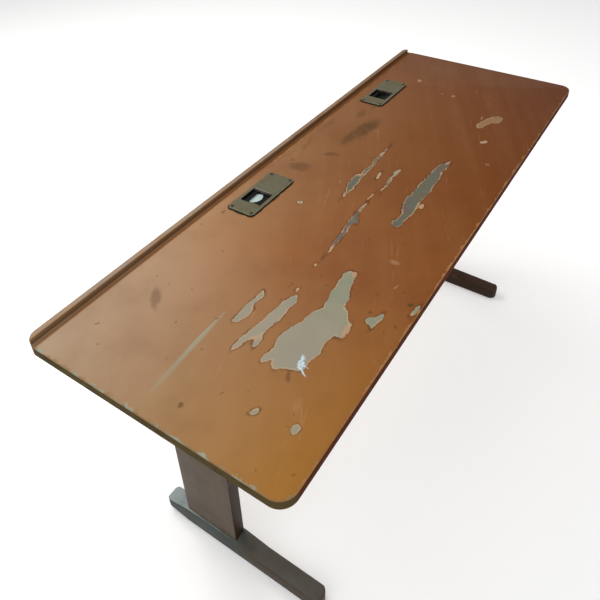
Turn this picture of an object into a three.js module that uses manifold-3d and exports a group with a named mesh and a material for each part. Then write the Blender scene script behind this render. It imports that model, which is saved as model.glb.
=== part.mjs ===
// Two-seat school desk: a long flat top on two T-shaped wooden legs, with a raised rail and a pencil
// groove along its back edge and two inkwells let into the top, each closed by a sliding shutter.
// Millimetres. +X runs along the desk to the pupils' right, +Y towards the back rail, +Z up.
// The origin is on the floor, under the middle of the top.
import * as THREE from "three";
import { mergeVertices } from "three/addons/utils/BufferGeometryUtils.js";
import Module from "manifold-3d";

const wasm = await Module();
wasm.setup();

// ---- driving dimensions ----
const topLength = 1300;
const topDepth = 467; // front edge of the board to the back of the rail
const topThick = 20;
const surfaceHeight = 630; // floor to writing surface
const frontRadius = 27; // front corners of the top, in plan
const backRadius = 20; // back corners, shared by the board and the rail
const arrisRound = 2.5;

const railThick = 10.5;
const railRise = 8; // how far the rail stands above the writing surface
const railArrisRound = 1.4;
const railEndRadius = 8; // upper corners of the rail, seen from the front
const railScrewCount = 5;
const railScrewEndInset = 90;
const grooveWidth = 12; // pencil groove in front of the rail
const grooveDepth = 2;

const windowSize = 45; // square opening in each inkwell plate
const windowEndInset = 33; // end of the plate to the opening
const windowSideInset = 7; // long edge of the plate to the opening
const plateTail = 21; // plate left past the open shutter
const plateThick = 2.5;
const plateRadius = 9;
const plateArrisRound = 0.6;
const plateScrewInset = 7; // screw centre to each edge of the plate
const plateBackGap = 33.5; // rail to the back edge of the plate
const plateCentres = { left: -154.5, right: 372 }; // along X

const shutterThick = 1.2;
const shutterOverlap = 2; // how far the closed shutter reaches past the opening on each side
const lipThick = 1.4;
const lipRise = 2.2; // finger lip above the plate
const lipInset = 2; // end of the finger lip to the side of the opening
const linerThick = 1.2;
const dipInset = 3; // side of the opening to the half-round dipping hole in the liner
const dipShiftX = 3; // middle of the opening to the middle of the dipping hole
const dipShiftY = 1.2;

const potPastDip = 1.5; // outside of the pot past the dipping hole
const potWall = 2.5;
const potDepth = 34;
const potFloor = 12;
const potFoot = 2; // chamfer round the bottom
const flangeWidth = 3;
const flangeThick = 2.5;

const columnThick = 27; // along X
const columnWidth = 127; // along Y
const columnFromEnd = 156; // end of the top to the middle of the column
const columnOffset = 68.5; // middle of the column behind the middle of the top
const columnArris = 2;
const tenonThick = 12;
const tenonWidth = 84;
const tenonDepth = 22;

const footLength = 388;
const footWidth = 37;
const footHeight = 42.5;
const footArmHeight = 33; // where the front shoulder ends
const footFrontTipHeight = 30;
const footBackTipHeight = 31.5;
const footBackRise = 12; // the underside lifts by this at the back tip
const footBackRiseRun = 62; // back tip to where the lift starts
const footShoulderRun = 60; // length of the front shoulder
const footEndRadius = 17; // corners of the tips, in plan
const footFrontNoseRadius = 10; // upper arris of the front tip, seen from the side
const footBackNoseRadius = 15;
const footArrisRound = 6.5; // upper arris along each side
const footLevelMargin = 1; // level length of the foot past the column
const footOffset = 1; // middle of the foot behind the middle of the top
const glideRadius = 11;
const glideHeight = 3;
const glideFrontInset = 34; // front tip of the foot to the glide
const glideBackMargin = 2; // lift of the underside to the glide
const glideNailRadius = 1.5;
const glideNailLength = 14;

const bearerThick = 28;
const bearerHeight = 42;
const bearerLength = 370;
const bearerChamfer = 26;
const bearerScrewInset = 40;
const stretcherThick = 20;
const stretcherHeight = 90;

const boltRadius = 4;
const boltSpread = 80;
const boltHeadRadius = 9.5;
const boltHeadRise = 4;
const boltTail = 3; // thread left past the nut
const nutAcross = 13;
const nutThick = 6;
const lagRadius = 4;
const lagHeadThick = 5;
const lagPoint = 8;
const lagSocketRadius = 10; // room for the head in the underside of the foot
const lagSink = 8;
const lagSpread = 50;
const lagBite = 55; // how far a lag screw goes into the column
const screwRadius = 2.2; // wood screws in the frame
const screwHeadRadius = 4.4;
const screwBite = 26; // how far a stretcher or rail screw goes into the second piece
const bearerScrewShare = 0.6; // share of the board's thickness that a bearer screw enters
const plateScrewRadius = 1.5;
const plateScrewHeadRadius = 3.6;
const plateScrewHeadRise = 1.6;
const plateScrewBite = 12;

const seam = 0.3; // gap left between pieces that touch
const slideGap = 0.4; // play above and below the shutter
const holePlay = 0.3; // radial play round a screw, bolt or pot
const overcut = 1; // how far a cutting tool runs past the face it opens

// ---- levels and places that follow from them ----
const undersideZ = surfaceHeight - topThick;
const backY = topDepth / 2;
const frontY = -backY;
const boardBackY = backY - railThick - seam;
const plateLength = windowEndInset + 2 * windowSize + plateTail;
const plateWidth = windowSize + 2 * windowSideInset;
const plateZ = surfaceHeight + seam;
const plateY = backY - railThick - plateBackGap - plateWidth / 2;
const shutterTop = plateZ - slideGap;
const linerTop = shutterTop - shutterThick - slideGap;
const pocketFloor = linerTop - linerThick - seam; // also the level of the pots' rims
const shutterWidth = windowSize + 2 * shutterOverlap;
const shutterLength = windowSize + shutterOverlap + lipThick;
const pocketWidth = shutterWidth + 2 * (linerThick + slideGap + seam);
const dipRadius = windowSize / 2 - dipInset;
const potRadius = dipRadius + potPastDip;
const rimRadius = potRadius + flangeWidth;
const footTop = glideHeight + footHeight;
const columnX = topLength / 2 - columnFromEnd;
const columnInnerX = columnX - columnThick / 2;
const bearerZ = undersideZ - seam - bearerHeight;
const stretcherZ = bearerZ - seam - stretcherHeight;

// ---- looks of the raw materials ----
const paint = (color, roughness = 0.55) => new THREE.MeshStandardMaterial({ color, roughness, metalness: 0 });
const metal = (color, roughness = 0.5) =>
  new THREE.MeshStandardMaterial({ color, roughness, metalness: 0.9 });
const looks = {
  top: () => paint(0x8c4f2a),
  rail: () => paint(0xa17a58),
  leg: () => paint(0x5a4a3e),
  foot: () => paint(0x556059),
  wood: () => paint(0xb08a5a, 0.7),
  plate: () => metal(0x6e695c),
  steel: () => metal(0x8a8a86, 0.4),
  liner: () => paint(0x0c0c0c, 0.4),
  pot: () => paint(0xdfe6e4, 0.2),
};

// ---- solids: merging, joining and cutting ----
function solid(geometry) {
  const bare = geometry.index ? geometry.toNonIndexed() : geometry.clone();
  bare.deleteAttribute("normal");
  bare.deleteAttribute("uv");
  const merged = mergeVertices(bare, 1e-4);
  const corners = merged.index.array;
  const triVerts = [];
  for (let i = 0; i < corners.length; i += 3) {
    const [a, b, c] = corners.slice(i, i + 3);
    if (a !== b && b !== c && c !== a) triVerts.push(a, b, c);
  }
  return new wasm.Manifold(new wasm.Mesh({
    numProp: 3,
    vertProperties: new Float32Array(merged.attributes.position.array),
    triVerts: new Uint32Array(triVerts),
  }));
}

function toGeometry(manifold) {
  const mesh = manifold.getMesh();
  const geometry = new THREE.BufferGeometry();
  geometry.setAttribute("position", new THREE.BufferAttribute(mesh.vertProperties, 3));
  geometry.setIndex(new THREE.BufferAttribute(mesh.triVerts, 1));
  geometry.computeVertexNormals();
  return geometry;
}

function cut(base, tools) {
  let body = solid(base);
  for (const tool of tools) body = body.subtract(solid(tool));
  return toGeometry(body);
}

function join(pieces) {
  let body = solid(pieces[0]);
  for (const piece of pieces.slice(1)) body = body.add(solid(piece));
  return toGeometry(body);
}

function meet(a, b) {
  return toGeometry(solid(a).intersect(solid(b)));
}

// ---- plain shapes, each returned in its final place ----
function block(x0, x1, y0, y1, z0, z1) {
  const box = new THREE.BoxGeometry(x1 - x0, y1 - y0, z1 - z0);
  return box.translate((x0 + x1) / 2, (y0 + y1) / 2, (z0 + z1) / 2);
}

// Upright cylinder from z0 to z1.
function post(radius, x, y, z0, z1, sides = 20) {
  const cylinder = new THREE.CylinderGeometry(radius, radius, z1 - z0, sides);
  return cylinder.rotateX(Math.PI / 2).translate(x, y, (z0 + z1) / 2);
}

// A turned piece: profile points are [radius, height], the axis is +Z.
function turned(profile, sides) {
  const points = profile.map(([radius, height]) => new THREE.Vector2(radius, height));
  return new THREE.LatheGeometry(points, sides).rotateX(Math.PI / 2);
}

// Rectangle in plan with its own radius at each corner, in the order front left, front right,
// back right, back left.
function roundedPlan(x0, x1, y0, y1, radii) {
  const [a, b, c, d] = radii;
  const plan = new THREE.Shape();
  plan.moveTo(x0 + a, y0);
  plan.lineTo(x1 - b, y0);
  plan.absarc(x1 - b, y0 + b, b, -Math.PI / 2, 0, false);
  plan.lineTo(x1, y1 - c);
  plan.absarc(x1 - c, y1 - c, c, 0, Math.PI / 2, false);
  plan.lineTo(x0 + d, y1);
  plan.absarc(x0 + d, y1 - d, d, Math.PI / 2, Math.PI, false);
  plan.lineTo(x0, y0 + a);
  plan.absarc(x0 + a, y0 + a, a, Math.PI, 1.5 * Math.PI, false);
  return plan;
}

// Plan outline raised from z0 to z1 with rounded arrises that stay inside the outline.
function slab(plan, z0, z1, round, curveSegments = 8) {
  const body = new THREE.ExtrudeGeometry(plan, {
    depth: z1 - z0 - 2 * round,
    bevelEnabled: round > 0,
    bevelThickness: round,
    bevelSize: round,
    bevelOffset: -round,
    bevelSegments: 2,
    curveSegments,
  });
  return body.translate(0, 0, z0 + round);
}

// ---- fasteners, standing head up with the underside of the head's rim at z = 0 ----
function slotted(head, headRadius, topZ, slotWidth, slotDepth) {
  const reach = headRadius + overcut;
  return cut(head, [block(-reach, reach, -slotWidth / 2, slotWidth / 2, topZ - slotDepth, topZ + overcut)]);
}

// Countersunk wood screw: the top of the head is at z = 0.
function sunkScrew(shankRadius, headRadius, length) {
  const cone = headRadius - shankRadius;
  const point = [shankRadius, -length + 2 * shankRadius];
  const profile = [[0, -length], point, [shankRadius, -cone], [headRadius, 0], [0, 0]];
  return slotted(turned(profile, 14), headRadius, 0, 0.9, 1.1);
}

// Countersink and clearance hole for the same screw.
function sunkHole(shankRadius, headRadius, length) {
  const r = shankRadius + holePlay;
  const h = headRadius + holePlay;
  const cone = headRadius - shankRadius;
  const end = -length - seam;
  const mouth = 3 * overcut;
  return turned([[0, end], [r, end], [r, -cone], [h, 0], [h, mouth], [0, mouth]], 14);
}

// Raised-head screw: the flat underside of the head is at z = 0.
function domeScrew(shankRadius, headRadius, headRise, length, sides = 14) {
  const profile = [[0, -length], [shankRadius, -length + 2 * shankRadius], [shankRadius, 0], [headRadius, 0]];
  for (const t of [0.35, 0.7]) {
    profile.push([headRadius * Math.cos(t * Math.PI / 2), headRise * Math.sin(t * Math.PI / 2)]);
  }
  profile.push([0, headRise]);
  return turned(profile, sides);
}

function aim(geometry, towards, x, y, z) {
  if (towards === "-X") geometry.rotateY(-Math.PI / 2);
  if (towards === "+X") geometry.rotateY(Math.PI / 2);
  if (towards === "+Y") geometry.rotateX(-Math.PI / 2);
  if (towards === "-Z") geometry.rotateX(Math.PI);
  return geometry.translate(x, y, z);
}

const desk = new THREE.Group();

// Adds a piece; its mesh sits at the piece's own anchor and the geometry is moved back by as much.
function add(name, geometry, material, anchor = [0, 0, 0]) {
  const mesh = new THREE.Mesh(geometry.translate(-anchor[0], -anchor[1], -anchor[2]), material);
  mesh.position.set(...anchor);
  mesh.name = name;
  desk.add(mesh);
}

// ---- inkwells ----
const wells = Object.entries(plateCentres).map(([side, x]) => {
  const plateX0 = x - plateLength / 2;
  const windowX0 = plateX0 + windowEndInset;
  const potX = windowX0 + windowSize / 2 + dipShiftX;
  return { side, x, plateX0, windowX0, windowX1: windowX0 + windowSize, potX };
});

function plateScrewPlaces(well) {
  const dx = plateLength / 2 - plateScrewInset;
  const dy = plateWidth / 2 - plateScrewInset;
  return [[-dx, -dy], [dx, -dy], [dx, dy], [-dx, dy]].map(([ox, oy]) => [well.x + ox, plateY + oy]);
}

function pocketEnds(well) {
  const openShutterEnd = well.windowX1 - seam - lipThick + shutterLength;
  return [well.windowX0 - 2 * seam, openShutterEnd + 2 * seam];
}

function inkwellPlate(well) {
  const radii = Array(4).fill(plateRadius);
  const wide = plateWidth / 2;
  const plan = roundedPlan(well.plateX0, well.plateX0 + plateLength, plateY - wide, plateY + wide, radii);
  const body = slab(plan, plateZ, plateZ + plateThick, plateArrisRound, 5);
  const half = windowSize / 2;
  const low = plateZ - overcut;
  const high = plateZ + plateThick + overcut;
  const tools = [block(well.windowX0, well.windowX1, plateY - half, plateY + half, low, high)];
  for (const [sx, sy] of plateScrewPlaces(well)) {
    tools.push(post(plateScrewRadius + holePlay, sx, sy, low, high, 14));
  }
  return cut(body, tools);
}

function shutter(well) {
  const x0 = well.windowX1 - seam - lipThick;
  const half = shutterWidth / 2;
  const low = shutterTop - shutterThick;
  const sheet = block(x0, x0 + shutterLength, plateY - half, plateY + half, low, shutterTop);
  const lipHalf = windowSize / 2 - lipInset;
  const lipTop = plateZ + plateThick + lipRise;
  return join([sheet, block(x0, x0 + lipThick, plateY - lipHalf, plateY + lipHalf, low, lipTop)]);
}

// Channel under the shutter: a floor with a half-round dipping hole and a low rim on each side.
function liner(well) {
  const [x0, x1] = pocketEnds(well);
  const half = pocketWidth / 2 - seam;
  const body = block(x0 + seam, x1 - seam, plateY - half, plateY + half, linerTop - linerThick, shutterTop);
  const inside = half - linerThick;
  const channel = block(x0, x1, plateY - inside, plateY + inside, linerTop, shutterTop + overcut);
  const hole = new THREE.Shape();
  const holeY = plateY + dipRadius / 2 + dipShiftY;
  hole.moveTo(well.potX - dipRadius, holeY);
  hole.absarc(well.potX, holeY, dipRadius, Math.PI, 2 * Math.PI, false);
  hole.closePath();
  const depth = linerThick + 2 * overcut;
  const punch = new THREE.ExtrudeGeometry(hole, { depth, bevelEnabled: false, curveSegments: 16 });
  return cut(body, [channel, punch.translate(0, 0, linerTop - linerThick - overcut)]);
}

function inkPot(well) {
  const inner = potRadius - potWall;
  const floor = potFloor - potDepth;
  const cup = turned([
    [0, -potDepth], [potRadius - potFoot, -potDepth], [potRadius, potFoot - potDepth],
    [potRadius, -flangeThick], [rimRadius, -flangeThick], [rimRadius, 0],
    [inner, 0], [inner - 1, floor], [0, floor],
  ], 28);
  return cup.translate(well.potX, plateY, pocketFloor);
}

// ---- top ----
function screwsUnderBearer(side) {
  const spread = bearerLength / 2 - bearerScrewInset;
  const x = side * (columnInnerX - seam - bearerThick / 2);
  return [-spread, 0, spread].map((y) => [x, y]);
}

const bearerScrewLength = bearerHeight + seam + bearerScrewShare * topThick;

// The board takes the outline of the whole top as far back as the rail.
function tabletop() {
  const half = topLength / 2;
  const past = half + overcut;
  const plan = roundedPlan(-half, half, frontY, backY, [frontRadius, frontRadius, backRadius, backRadius]);
  const board = slab(plan, undersideZ, surfaceHeight, arrisRound, 8);
  const grooveRadius = (grooveWidth ** 2 / 4 + grooveDepth ** 2) / (2 * grooveDepth);
  const groove = new THREE.CylinderGeometry(grooveRadius, grooveRadius, 2 * past, 40).rotateZ(Math.PI / 2);
  groove.translate(0, boardBackY - grooveWidth / 2, surfaceHeight + grooveRadius - grooveDepth);
  const low = undersideZ - overcut;
  const high = surfaceHeight + overcut;
  const tools = [block(-past, past, boardBackY, backY + overcut, low, high), groove];
  for (const well of wells) {
    const [x0, x1] = pocketEnds(well);
    const wide = pocketWidth / 2;
    const rimSeat = pocketFloor - flangeThick - seam;
    tools.push(block(x0, x1, plateY - wide, plateY + wide, pocketFloor, high));
    tools.push(post(rimRadius + holePlay, well.potX, plateY, rimSeat, surfaceHeight, 28));
    tools.push(post(potRadius + holePlay, well.potX, plateY, low, surfaceHeight, 28));
    for (const [x, y] of plateScrewPlaces(well)) {
      tools.push(post(plateScrewRadius + holePlay, x, y, surfaceHeight - plateScrewBite - seam, high, 14));
    }
  }
  for (const side of [-1, 1]) {
    for (const [x, y] of screwsUnderBearer(side)) {
      const tip = bearerZ + bearerScrewLength + seam;
      tools.push(post(screwRadius + holePlay, x, y, low, tip, 14));
    }
  }
  for (const x of railScrewPlaces()) {
    const hole = post(screwRadius + holePlay, 0, 0, -railThick - screwBite - seam, 0, 14);
    tools.push(aim(hole, "+Y", x, backY, surfaceHeight - topThick / 2));
  }
  return cut(board, tools);
}

function railScrewPlaces() {
  const reach = topLength / 2 - railScrewEndInset;
  return Array.from({ length: railScrewCount }, (_, i) => -reach + (2 * reach * i) / (railScrewCount - 1));
}

function backRail() {
  const frontLine = backY - railThick;
  const arcX = topLength / 2 - backRadius;
  const arcY = backY - backRadius;
  const start = Math.asin((frontLine - arcY) / backRadius);
  const reach = arcX + backRadius * Math.cos(start);
  const plan = new THREE.Shape();
  plan.moveTo(-reach, frontLine);
  plan.lineTo(reach, frontLine);
  plan.absarc(arcX, arcY, backRadius, start, Math.PI / 2, false);
  plan.absarc(-arcX, arcY, backRadius, Math.PI / 2, Math.PI - start, false);
  const bar = slab(plan, undersideZ, surfaceHeight + railRise, railArrisRound, 5);
  const half = topLength / 2;
  const low = undersideZ - railEndRadius;
  const view = roundedPlan(-half, half, low, surfaceHeight + railRise, Array(4).fill(railEndRadius));
  const across = slab(view, 0, railThick + 2 * overcut, 0, 5).rotateX(Math.PI / 2).translate(0, backY + overcut, 0);
  const tools = railScrewPlaces().map((x) => {
    const hole = sunkHole(screwRadius, screwHeadRadius, railThick + screwBite);
    return aim(hole, "+Y", x, backY - seam, surfaceHeight - topThick / 2);
  });
  return cut(meet(bar, across), tools);
}

// ---- legs ----
// side is -1 for the left leg and +1 for the right one.
function boltPlaces() {
  return [-1, 1].map((end) => [columnOffset + end * boltSpread / 2, bearerZ + bearerHeight / 2]);
}

function stretcherScrewPlaces() {
  return [0.25, 0.75].map((share) => [columnOffset, stretcherZ + share * stretcherHeight]);
}

function lagPlaces() {
  return [-1, 1].map((end) => columnOffset + end * lagSpread / 2);
}

// Tenon under a column, or with some play the mortise for it.
function tenonBlock(play, z0, z1) {
  const x = tenonThick / 2 + play;
  const y = tenonWidth / 2 + play;
  return block(-x, x, columnOffset - y, columnOffset + y, z0, z1);
}

function column(side) {
  const halfX = columnThick / 2;
  const halfY = columnWidth / 2;
  const radii = Array(4).fill(columnArris);
  const plan = roundedPlan(-halfX, halfX, columnOffset - halfY, columnOffset + halfY, radii);
  const shaft = slab(plan, footTop + seam, undersideZ - seam, 0, 2);
  const tenon = tenonBlock(0, footTop - tenonDepth + seam, footTop + overcut);
  const tools = [];
  for (const [y, z] of boltPlaces()) {
    tools.push(aim(post(boltRadius + holePlay, 0, 0, -columnThick, columnThick, 16), "+X", 0, y, z));
  }
  const outward = side < 0 ? "-X" : "+X";
  for (const [y, z] of stretcherScrewPlaces()) {
    const hole = sunkHole(screwRadius, screwHeadRadius, columnThick + screwBite);
    tools.push(aim(hole, outward, side * (halfX - seam), y, z));
  }
  for (const y of lagPlaces()) {
    tools.push(post(lagRadius + holePlay, 0, y, 0, footTop + lagBite + seam, 16));
  }
  return cut(join([shaft, tenon]), tools).translate(side * columnX, 0, 0);
}

// Side view, drawn with Y to the right and Z up, given a thickness along X with its middle at x = 0.
function alongY(view, thick, round = 0) {
  const body = slab(view, -thick / 2, thick / 2, round, 4);
  return body.applyMatrix4(new THREE.Matrix4().set(0, 0, 1, 0, 1, 0, 0, 0, 0, 1, 0, 0, 0, 0, 0, 1));
}

function foot(side) {
  const y0 = footOffset - footLength / 2;
  const y1 = footOffset + footLength / 2;
  const levelFront = columnOffset - columnWidth / 2 - footLevelMargin;
  const levelBack = columnOffset + columnWidth / 2 + footLevelMargin;
  const frontNose = footFrontNoseRadius;
  const backNose = footBackNoseRadius;
  const frontTipZ = glideHeight + footFrontTipHeight;
  const backTipZ = glideHeight + footBackTipHeight;
  // The view runs on below the foot, so that only the upper arrises are rounded.
  const low = glideHeight - 2 * footArrisRound;
  const view = new THREE.Shape();
  view.moveTo(y0, low);
  view.lineTo(y1, low);
  view.lineTo(y1, backTipZ - backNose);
  view.absarc(y1 - backNose, backTipZ - backNose, backNose, 0, Math.PI / 2, false);
  view.lineTo(levelBack, footTop);
  view.lineTo(levelFront, footTop);
  view.lineTo(levelFront - footShoulderRun, glideHeight + footArmHeight);
  view.lineTo(y0 + frontNose, frontTipZ);
  view.absarc(y0 + frontNose, frontTipZ - frontNose, frontNose, Math.PI / 2, Math.PI, false);
  const across = alongY(view, footWidth, footArrisRound);
  const wide = footWidth / 2;
  const plan = roundedPlan(-wide, wide, y0, y1, Array(4).fill(footEndRadius));
  const upright = slab(plan, glideHeight, footTop + overcut, 0, 6);
  const tools = [tenonBlock(holePlay, footTop - tenonDepth, footTop + overcut), footLift(y1)];
  for (const y of lagPlaces()) {
    tools.push(post(lagRadius + holePlay, 0, y, 0, footTop, 16));
    tools.push(post(lagSocketRadius, 0, y, 0, glideHeight + lagSink, 16));
  }
  for (const y of glidePlaces()) {
    tools.push(post(glideNailRadius + holePlay, 0, y, 0, glideHeight + glideNailLength + seam, 10));
  }
  return cut(meet(across, upright), tools).translate(side * columnX, 0, 0);
}

// Wedge taken from the underside of the foot towards its back tip.
function footLift(tipY) {
  const startY = tipY - footBackRiseRun;
  const farY = tipY + footBackRiseRun;
  const wedge = new THREE.Shape();
  wedge.moveTo(startY, glideHeight);
  wedge.lineTo(startY, 0);
  wedge.lineTo(farY, 0);
  wedge.lineTo(farY, glideHeight + 2 * footBackRise);
  return alongY(wedge, footWidth + 2 * overcut, 0);
}

function glidePlaces() {
  const backInset = footBackRiseRun + glideBackMargin + glideRadius;
  return [footOffset - footLength / 2 + glideFrontInset, footOffset + footLength / 2 - backInset];
}

// Pressed glide with its nail.
function glide() {
  const top = glideHeight - seam;
  const tip = glideHeight + glideNailLength;
  return turned([
    [0, 0], [glideRadius - glideHeight, 0], [glideRadius, glideHeight / 2], [glideRadius, top],
    [glideNailRadius, top], [glideNailRadius, tip - 2 * glideNailRadius], [0, tip],
  ], 16);
}

// Hexagon-headed lag screw, head down: the head's bearing face is at z = 0.
function lagScrew(length) {
  const start = -overcut;
  const shank = turned([[0, start], [lagRadius, start], [lagRadius, length - lagPoint], [0, length]], 16);
  return join([hexagon(lagHeadThick).translate(0, 0, -lagHeadThick / 2), shank]);
}

function hexagon(thick) {
  const corner = nutAcross / Math.sqrt(3);
  return new THREE.CylinderGeometry(corner, corner, thick, 6).rotateX(Math.PI / 2);
}

function bearer(side) {
  const half = bearerLength / 2;
  const z1 = bearerZ + bearerHeight;
  const view = new THREE.Shape();
  view.moveTo(-half + bearerChamfer, bearerZ);
  view.lineTo(half - bearerChamfer, bearerZ);
  view.lineTo(half, z1 - bearerHeight / 2);
  view.lineTo(half, z1);
  view.lineTo(-half, z1);
  view.lineTo(-half, z1 - bearerHeight / 2);
  view.closePath();
  const x0 = side * (columnInnerX - seam - bearerThick / 2);
  const bar = alongY(view, bearerThick).translate(x0, 0, 0);
  const tools = [];
  for (const [x, y] of screwsUnderBearer(side)) {
    const hole = sunkHole(screwRadius, screwHeadRadius, bearerHeight + overcut);
    tools.push(aim(hole, "-Z", x, y, bearerZ + seam));
  }
  for (const [y, z] of boltPlaces()) {
    tools.push(aim(post(boltRadius + holePlay, 0, 0, -bearerThick, bearerThick, 16), "+X", x0, y, z));
  }
  return cut(bar, tools);
}

function stretcher() {
  const reach = columnInnerX - seam;
  const half = stretcherThick / 2;
  const top = stretcherZ + stretcherHeight;
  const board = block(-reach, reach, columnOffset - half, columnOffset + half, stretcherZ, top);
  const tools = [];
  for (const side of [-1, 1]) {
    const from = side < 0 ? "-X" : "+X";
    for (const [y, z] of stretcherScrewPlaces()) {
      const hole = post(screwRadius + holePlay, 0, 0, -columnThick - screwBite - seam, 0, 14);
      tools.push(aim(hole, from, side * (columnInnerX + columnThick - seam), y, z));
    }
  }
  return cut(board, tools);
}

function coachBolt() {
  const length = columnThick + bearerThick + 3 * seam + nutThick + boltTail;
  return domeScrew(boltRadius, boltHeadRadius, boltHeadRise, length, 18);
}

function hexNut() {
  return cut(hexagon(nutThick), [post(boltRadius + holePlay, 0, 0, -nutThick, nutThick, 16)]);
}

// ---- the assembly ----
add("tabletop", tabletop(), looks.top(), [0, 0, surfaceHeight]);
add("back_rail", backRail(), looks.rail(), [0, backY, surfaceHeight]);
railScrewPlaces().forEach((x, i) => {
  const screw = sunkScrew(screwRadius, screwHeadRadius, railThick + screwBite - seam);
  const z = surfaceHeight - topThick / 2;
  add(`back_rail_screw_${i + 1}`, aim(screw, "+Y", x, backY - seam, z), looks.steel(), [x, backY, z]);
});

for (const well of wells) {
  const centre = [well.x, plateY, surfaceHeight];
  add(`inkwell_plate_${well.side}`, inkwellPlate(well), looks.plate(), centre);
  plateScrewPlaces(well).forEach(([x, y], i) => {
    const length = plateThick + plateScrewBite;
    const bare = domeScrew(plateScrewRadius, plateScrewHeadRadius, plateScrewHeadRise, length);
    const screw = slotted(bare, plateScrewHeadRadius, plateScrewHeadRise, 0.8, 0.9).rotateZ(0.6 + i * 0.9);
    const seat = plateZ + plateThick + seam / 3;
    add(`inkwell_${well.side}_screw_${i + 1}`, screw.translate(x, y, seat), looks.plate(), [x, y, seat]);
  });
  add(`inkwell_shutter_${well.side}`, shutter(well), looks.plate(), [well.windowX1, plateY, shutterTop]);
  add(`inkwell_liner_${well.side}`, liner(well), looks.liner(), centre);
  add(`ink_pot_${well.side}`, inkPot(well), looks.pot(), [well.potX, plateY, pocketFloor]);
}

for (const [name, side] of [["left", -1], ["right", 1]]) {
  const x = side * columnX;
  const outward = side < 0 ? "-X" : "+X";
  add(`column_${name}`, column(side), looks.leg(), [x, columnOffset, footTop]);
  add(`foot_${name}`, foot(side), looks.foot(), [x, footOffset, glideHeight]);
  add(`bearer_${name}`, bearer(side), looks.wood(), [side * columnInnerX, 0, bearerZ]);
  screwsUnderBearer(side).forEach(([sx, sy], i) => {
    const screw = sunkScrew(screwRadius, screwHeadRadius, bearerScrewLength - seam);
    aim(screw, "-Z", sx, sy, bearerZ + seam);
    add(`bearer_${name}_screw_${i + 1}`, screw, looks.steel(), [sx, sy, bearerZ]);
  });
  boltPlaces().forEach(([y, z], i) => {
    const outerX = side * (columnX + columnThick / 2 + seam);
    const bolt = aim(coachBolt(), outward, outerX, y, z);
    add(`leg_bolt_${name}_${i + 1}`, bolt, looks.steel(), [outerX, y, z]);
    const nutX = side * (columnInnerX - 2 * seam - bearerThick - nutThick / 2);
    add(`leg_nut_${name}_${i + 1}`, aim(hexNut(), "+X", nutX, y, z), looks.steel(), [nutX, y, z]);
  });
  stretcherScrewPlaces().forEach(([y, z], i) => {
    const outerX = side * (columnX + columnThick / 2 - seam);
    const screw = sunkScrew(screwRadius, screwHeadRadius, columnThick + screwBite - seam);
    add(`stretcher_screw_${name}_${i + 1}`, aim(screw, outward, outerX, y, z), looks.steel(), [outerX, y, z]);
  });
  lagPlaces().forEach((y, i) => {
    const z = glideHeight + lagSink - seam;
    const screw = lagScrew(footTop + lagBite - z);
    add(`foot_screw_${name}_${i + 1}`, screw.translate(x, y, z), looks.steel(), [x, y, z]);
  });
  glidePlaces().forEach((y, i) => {
    add(`glide_${name}_${i + 1}`, glide().translate(x, y, 0), looks.steel(), [x, y, 0]);
  });
}
add("stretcher", stretcher(), looks.wood(), [0, columnOffset, stretcherZ]);

export default desk;
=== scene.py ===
# Two-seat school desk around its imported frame: worn brown paint over an older pale coat, two inkwells
# under metal plates, T-shaped wooden legs. Metres, +X along the desk, +Y to the back rail, +Z up.
import math

import bmesh
import bpy
from mathutils import Matrix, Vector


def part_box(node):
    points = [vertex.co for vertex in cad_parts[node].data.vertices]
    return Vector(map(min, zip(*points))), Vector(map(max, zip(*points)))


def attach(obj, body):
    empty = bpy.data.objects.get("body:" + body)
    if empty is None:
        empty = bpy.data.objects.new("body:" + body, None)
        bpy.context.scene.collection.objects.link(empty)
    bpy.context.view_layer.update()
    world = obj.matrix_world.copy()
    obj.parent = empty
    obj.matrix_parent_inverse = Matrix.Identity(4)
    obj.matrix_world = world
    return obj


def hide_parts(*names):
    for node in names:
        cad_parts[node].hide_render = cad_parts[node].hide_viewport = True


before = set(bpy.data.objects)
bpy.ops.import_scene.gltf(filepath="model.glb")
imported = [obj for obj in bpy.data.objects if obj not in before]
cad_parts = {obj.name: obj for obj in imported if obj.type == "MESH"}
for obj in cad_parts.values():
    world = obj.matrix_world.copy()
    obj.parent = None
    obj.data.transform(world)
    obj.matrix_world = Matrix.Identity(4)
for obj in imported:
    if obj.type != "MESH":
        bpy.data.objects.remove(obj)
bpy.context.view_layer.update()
scene = bpy.context.scene
scene.view_settings.view_transform = "Standard"
print("stage: frame loaded,", len(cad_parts), "nodes")

boardLow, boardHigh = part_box("tabletop")
railLow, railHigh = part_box("back_rail")
surfaceZ = boardHigh.z
sides = ("left", "right")


def tint(code):
    parts = [int(code[i:i + 2], 16) / 255 for i in (0, 2, 4)]
    linear = [c / 12.92 if c <= 0.04045 else ((c + 0.055) / 1.055) ** 2.4 for c in parts]
    return (*linear, 1.0)


def plug(tree, socket, value):
    if isinstance(value, bpy.types.NodeSocket):
        tree.links.new(value, socket)
    elif value is not None:
        socket.default_value = value


def maths(tree, operation, a, b=None, c=None):
    made = tree.nodes.new("ShaderNodeMath")
    made.operation = operation
    for socket, value in zip(made.inputs, (a, b, c)):
        plug(tree, socket, value)
    return made.outputs[0]


def times(tree, a, b):
    return maths(tree, "MULTIPLY", a, b)


def vectors(tree, operation, a, b=None, scale=None):
    made = tree.nodes.new("ShaderNodeVectorMath")
    made.operation = operation
    plug(tree, made.inputs[0], a)
    plug(tree, made.inputs[1], b)
    if scale is not None:
        plug(tree, made.inputs["Scale"], scale)
    return made.outputs["Value"] if operation in ("LENGTH", "DOT_PRODUCT") else made.outputs["Vector"]


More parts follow.
